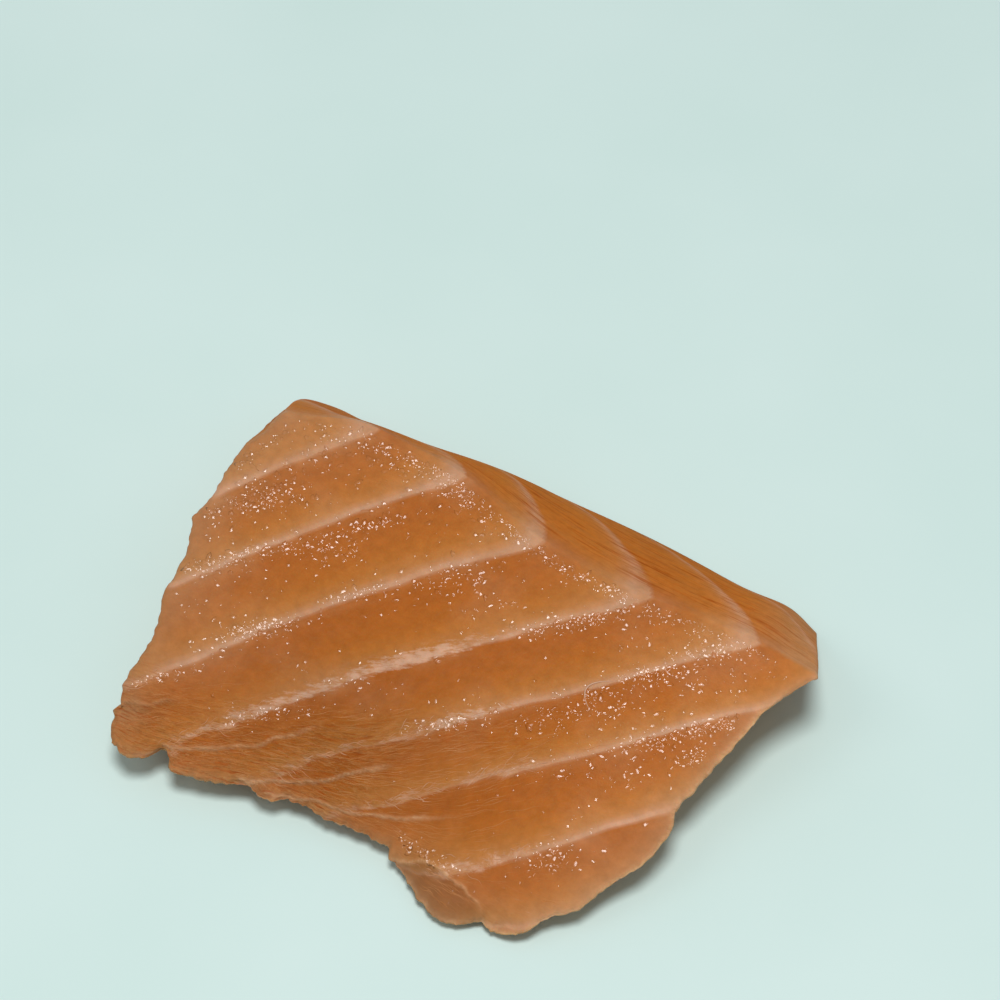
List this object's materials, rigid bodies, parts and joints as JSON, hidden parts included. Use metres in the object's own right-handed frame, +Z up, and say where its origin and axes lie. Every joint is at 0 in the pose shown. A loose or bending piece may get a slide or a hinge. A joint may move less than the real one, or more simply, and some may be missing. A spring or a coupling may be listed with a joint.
{
  "type": "salmon sashimi slice",
  "caption": "Single slant-cut slice of raw salmon with pale fat lines, a rounded back face, thin torn front edge and a flat underside it rests on.",
  "frame": {"origin": "middle of the slice's length and width, on the flat underside", "axes": "+X along the ridge towards the thin right end, +Y towards the rounded back face, +Z up out of the cut face"},
  "size_m": [0.06, 0.049, 0.0106],
  "materials": {
    "salmon_flesh": "gloss"
  },
  "bodies": {
    "root": {"salmon_slice": "salmon_flesh"}
  },
  "joints": []
}
